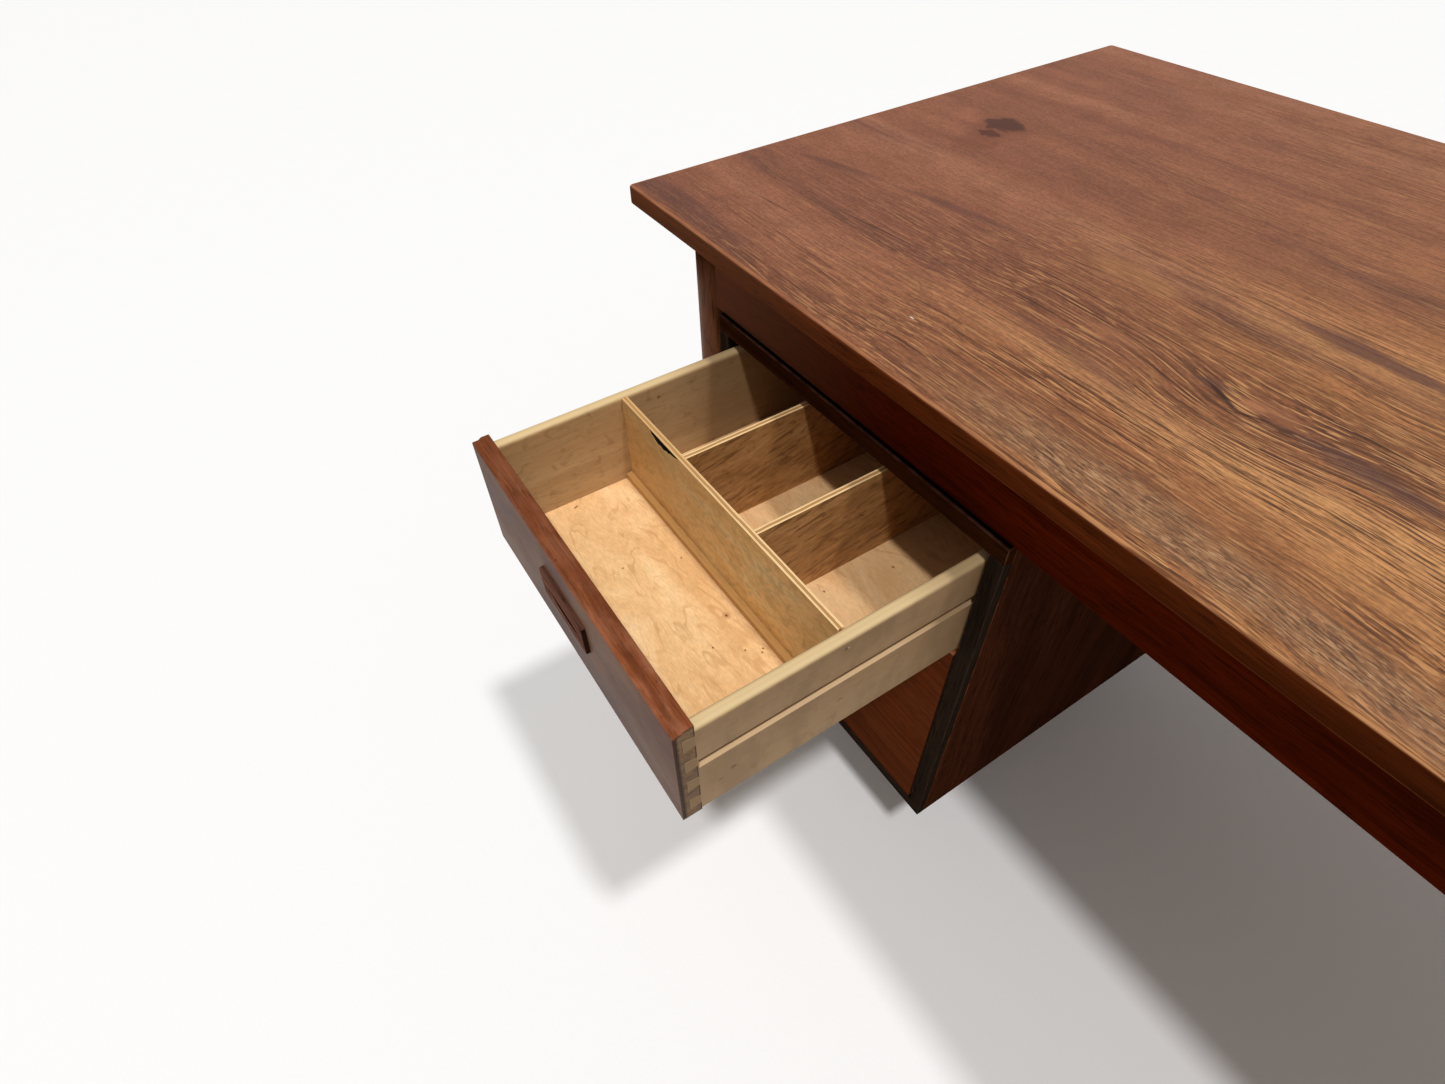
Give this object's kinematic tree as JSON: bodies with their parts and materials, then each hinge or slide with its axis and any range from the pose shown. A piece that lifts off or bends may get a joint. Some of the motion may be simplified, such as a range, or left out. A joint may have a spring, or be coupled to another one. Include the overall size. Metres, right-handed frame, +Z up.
{
  "type": "writing desk with drawers",
  "caption": "Teak writing desk on round tapered legs, with a hung pedestal of side-hung drawers; the upper one stands open and shows its plywood dividers.",
  "frame": {"origin": "on the floor, under the middle of the bounding box with the upper drawer open as at rest", "axes": "+X along the desk's length to the user's right, +Y from the user to the back, +Z up"},
  "size_m": [1.5, 1.0146, 0.73],
  "materials": {
    "teak_top": "oiled teak veneer, satin",
    "teak_edge": "oiled solid teak",
    "teak_frame": "oiled solid teak",
    "teak_carcase": "oiled teak veneer on board",
    "black_stain": "black stained wood, low sheen",
    "softwood": "bare softwood",
    "steel": "zinc plated screws",
    "beech": "pale hardwood, clear lacquer",
    "birch_ply": "birch plywood, clear lacquer",
    "teak_front": "oiled teak",
    "front_core": "bare core wood"
  },
  "bodies": {
    "desk_frame": {"top_panel": "teak_top", "top_lipping_front": "teak_edge", "top_lipping_back": "teak_edge", "top_lipping_left": "teak_edge", "top_lipping_right": "teak_edge", "leg_front_left": "teak_frame", "leg_front_right": "teak_frame", "leg_back_left": "teak_frame", "leg_back_right": "teak_frame", "apron_front": "teak_frame", "apron_back": "teak_frame", "apron_left": "teak_frame", "apron_right": "teak_frame", "carcase_side_left": "teak_carcase", "carcase_side_right": "teak_carcase", "carcase_bottom": "teak_carcase", "carcase_back": "teak_carcase", "frame_strip_top": "black_stain", "frame_strip_bottom": "black_stain", "frame_strip_left": "black_stain", "frame_strip_right": "black_stain", "carcase_top": "softwood", "hanger_rail_left": "softwood", "hanger_rail_right": "softwood", "cross_rail_middle": "softwood", "hanger_screw_left_front": "steel", "hanger_screw_left_back": "steel", "hanger_screw_right_front": "steel", "hanger_screw_right_back": "steel", "runner_upper_left": "beech", "runner_upper_right": "beech", "runner_lower_left": "beech", "runner_lower_right": "beech"},
    "upper_drawer": {"upper_drawer_side_left": "beech", "upper_drawer_side_right": "beech", "upper_drawer_back": "beech", "upper_drawer_divider_batten": "beech", "upper_drawer_bottom": "birch_ply", "upper_drawer_divider_long": "birch_ply", "upper_drawer_divider_short_1": "birch_ply", "upper_drawer_divider_short_2": "birch_ply", "upper_drawer_front_face": "teak_front", "upper_drawer_front_cap": "teak_front", "upper_drawer_pull": "teak_front", "upper_drawer_front_core": "front_core"},
    "lower_drawer": {"lower_drawer_side_left": "beech", "lower_drawer_side_right": "beech", "lower_drawer_back": "beech", "lower_drawer_bottom": "birch_ply", "lower_drawer_front_face": "teak_front", "lower_drawer_front_cap": "teak_front", "lower_drawer_pull": "teak_front", "lower_drawer_front_core": "front_core"}
  },
  "joints": [
    {"name": "upper_drawer_slide", "type": "slide", "parent": "desk_frame", "child": "upper_drawer", "axis": [0, -1, 0], "range_m": [-0.2805, 0.12]},
    {"name": "lower_drawer_slide", "type": "slide", "parent": "desk_frame", "child": "lower_drawer", "axis": [0, -1, 0], "range_m": [0, 0.4]}
  ]
}
